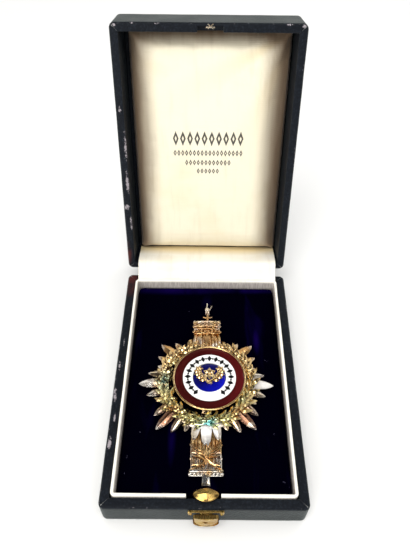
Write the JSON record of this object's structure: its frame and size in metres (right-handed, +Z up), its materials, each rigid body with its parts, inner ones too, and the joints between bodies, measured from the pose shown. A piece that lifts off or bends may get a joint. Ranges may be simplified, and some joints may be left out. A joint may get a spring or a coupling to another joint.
{
  "type": "badge of office in a hinged presentation box",
  "caption": "Gilt and enamel star badge with fasces, wreath and raised hand, lying on velvet in an open leatherette box with a satin-lined hinged lid and a push-button clasp.",
  "frame": {"origin": "centre of the box base's flat underside", "axes": "+X to the right seen from the clasp side, +Y from the clasp to the hinge, +Z up; the lid stands open, leaning back"},
  "size_m": [0.08, 0.1702, 0.1285],
  "materials": {
    "leatherette": "fine-grained, satin, worn at the edges",
    "ivory_board": "matt",
    "velvet": "short pile, deep blue",
    "satin": "soft sheen, fine rib",
    "clasp_brass": "polished, a little tarnished",
    "hinge_steel": "plain",
    "silver_gilt": "bright gilt, faceted",
    "red_enamel": "glossy, translucent over engine turning",
    "white_enamel": "glossy",
    "blue_enamel": "glossy, translucent over radial engine turning"
  },
  "bodies": {
    "base": {"base_shell": "leatherette", "ivory_trim": "ivory_board", "velvet_pad": "velvet", "satin_gusset": "satin", "clasp_plate": "clasp_brass", "hinge_base_leaf": "clasp_brass", "hinge_pin": "hinge_steel", "star_rays": "silver_gilt", "laurel_wreath": "silver_gilt", "fasces_staff": "silver_gilt", "crossed_ribbons": "silver_gilt", "hand_finial": "silver_gilt", "medallion_bezel": "silver_gilt", "gold_device": "silver_gilt", "brooch_pin": "silver_gilt", "red_enamel_ring": "red_enamel", "white_enamel_ring": "white_enamel", "blue_enamel_centre": "blue_enamel"},
    "lid": {"lid_shell": "leatherette", "satin_pad": "satin", "hinge_lid_leaf": "clasp_brass", "strike_plate": "clasp_brass"},
    "catch": {"catch_button": "clasp_brass"}
  },
  "joints": [
    {"name": "lid_hinge", "type": "hinge", "parent": "base", "child": "lid", "pos_m": [0, 0.0605, 0.01315], "axis": [1, 0, 0], "range_deg": [0, 103.8], "deforming": ["satin_gusset"]},
    {"name": "catch_slide", "type": "slide", "parent": "base", "child": "catch", "axis": [0, 1, 0], "range_m": [0, 0.001], "stiffness_N_per_m": 400}
  ]
}
